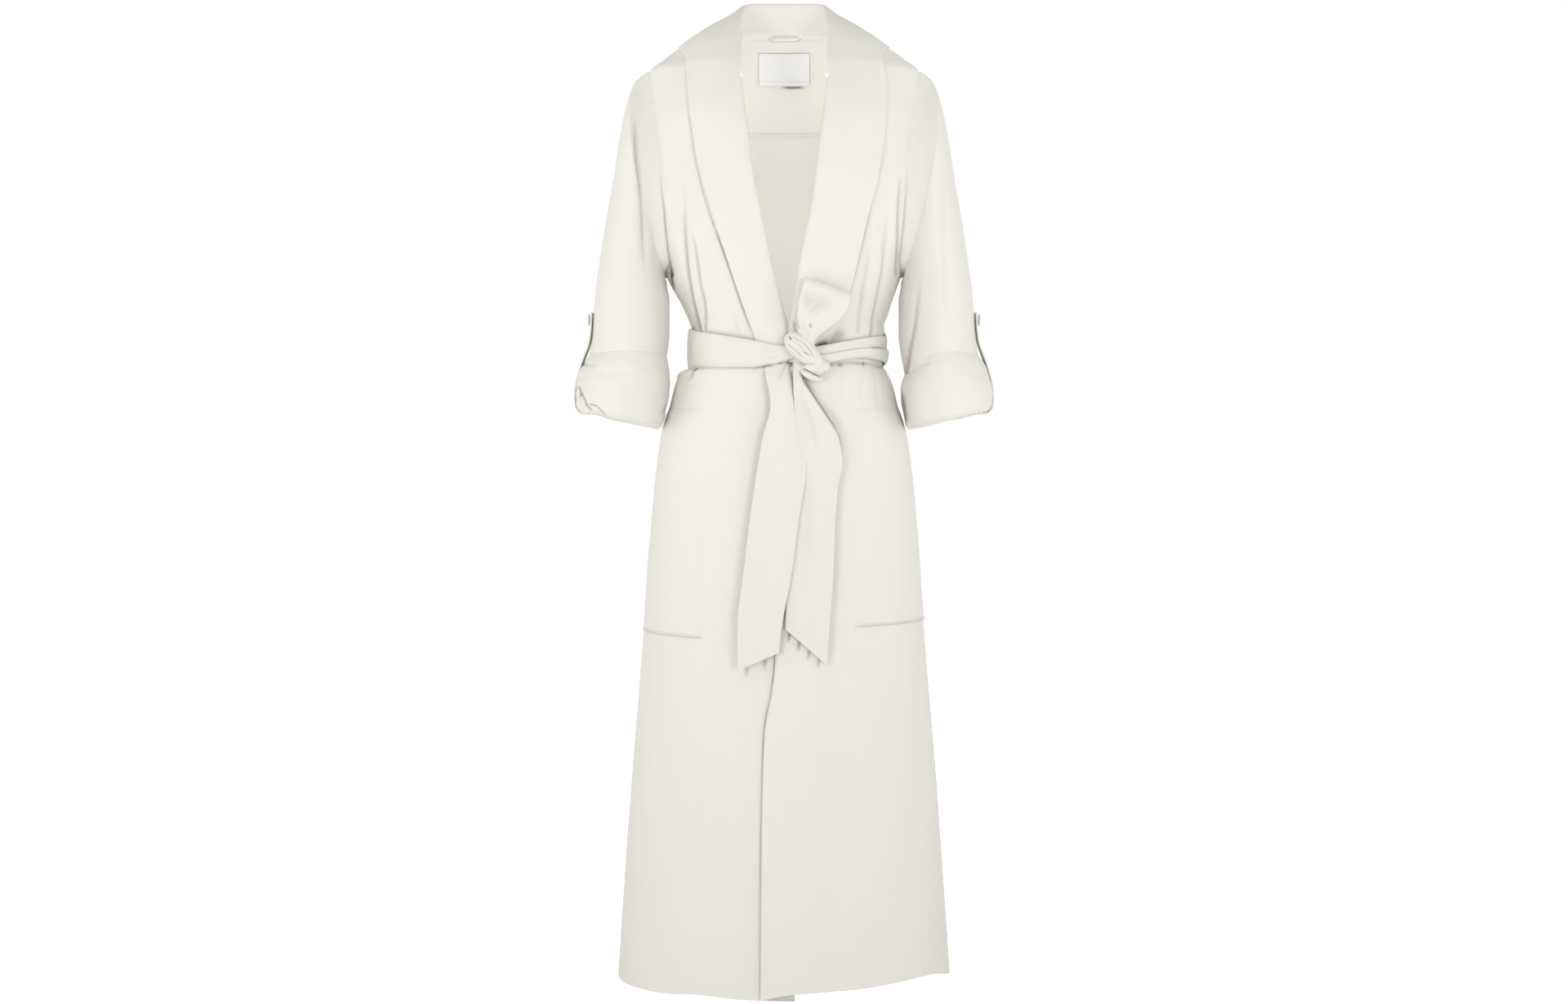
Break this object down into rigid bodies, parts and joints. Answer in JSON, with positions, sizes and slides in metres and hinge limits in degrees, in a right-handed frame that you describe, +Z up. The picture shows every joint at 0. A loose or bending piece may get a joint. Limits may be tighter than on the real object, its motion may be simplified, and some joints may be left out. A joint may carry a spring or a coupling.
{
  "type": "wrap coat",
  "caption": "Long wrap coat with a shawl collar, rolled sleeves under buttoned tabs, patch pockets and a self belt tied in a half bow, hollow as worn.",
  "frame": {"origin": "middle of the neck at the height of the nape seam, where the coat sits on the wearer", "axes": "+Z up along the standing wearer, the front faces -Y, +X is the wearer's left; this is the pose worn, with the sleeves hanging"},
  "size_m": [0.5248, 0.3302, 1.2391],
  "materials": {
    "crepe": "matte heavy crepe, ivory",
    "belt_crepe": "the same crepe, doubled and stitched at the edges",
    "label_weave": "smooth woven white, blank",
    "button_resin": "cream resin, satin"
  },
  "bodies": {
    "root": {"front_right": "crepe", "front_left": "crepe", "back": "crepe", "back_yoke": "crepe", "collar_right": "crepe", "collar_left": "crepe", "sleeve_right": "crepe", "sleeve_left": "crepe", "cuff_right": "crepe", "cuff_left": "crepe", "tab_right": "crepe", "tab_left": "crepe", "pocket_right": "crepe", "pocket_left": "crepe", "hanger_loop": "belt_crepe", "label": "label_weave", "button_right": "button_resin", "button_left": "button_resin", "belt_back": "belt_crepe", "belt_front_right": "belt_crepe", "belt_front_left": "belt_crepe", "belt_tail_right": "belt_crepe", "belt_tail_left": "belt_crepe", "belt_knot_wrap": "belt_crepe", "belt_knot_tuck": "belt_crepe", "belt_bow_loop": "belt_crepe"}
  },
  "joints": []
}
